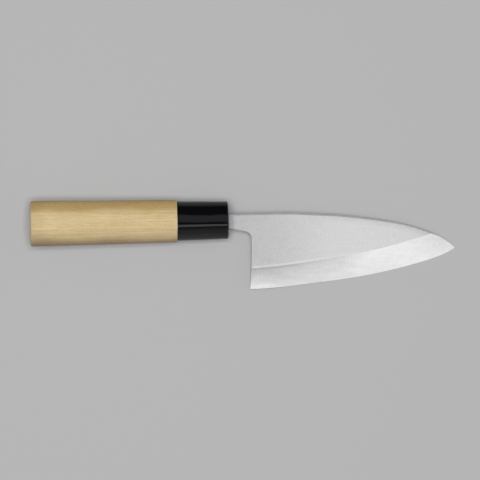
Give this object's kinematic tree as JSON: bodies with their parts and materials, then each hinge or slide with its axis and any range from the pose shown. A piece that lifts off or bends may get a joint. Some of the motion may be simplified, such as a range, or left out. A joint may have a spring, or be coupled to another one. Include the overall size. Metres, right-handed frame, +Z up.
{
  "type": "deba knife",
  "caption": "Small right-handed deba: laminated single-bevel blade with a hollow back, tapered tang, D-section wooden handle and moulded ferrule.",
  "frame": {"origin": "centre of the bounding box on the board that the knife lies on, hollow back down", "axes": "+X towards the tip, +Y towards the spine, +Z up from the board through the bevelled face"},
  "size_m": [0.2492, 0.0534, 0.0249],
  "materials": {
    "soft_iron": "satin",
    "edge_steel": "finely polished",
    "ferrule": "gloss",
    "seal": "matt",
    "magnolia": "sanded, unfinished"
  },
  "bodies": {
    "root": {"blade_body": "soft_iron", "edge_steel": "edge_steel", "ferrule": "ferrule", "mouth_seal": "seal", "wood_handle": "magnolia"}
  },
  "joints": []
}
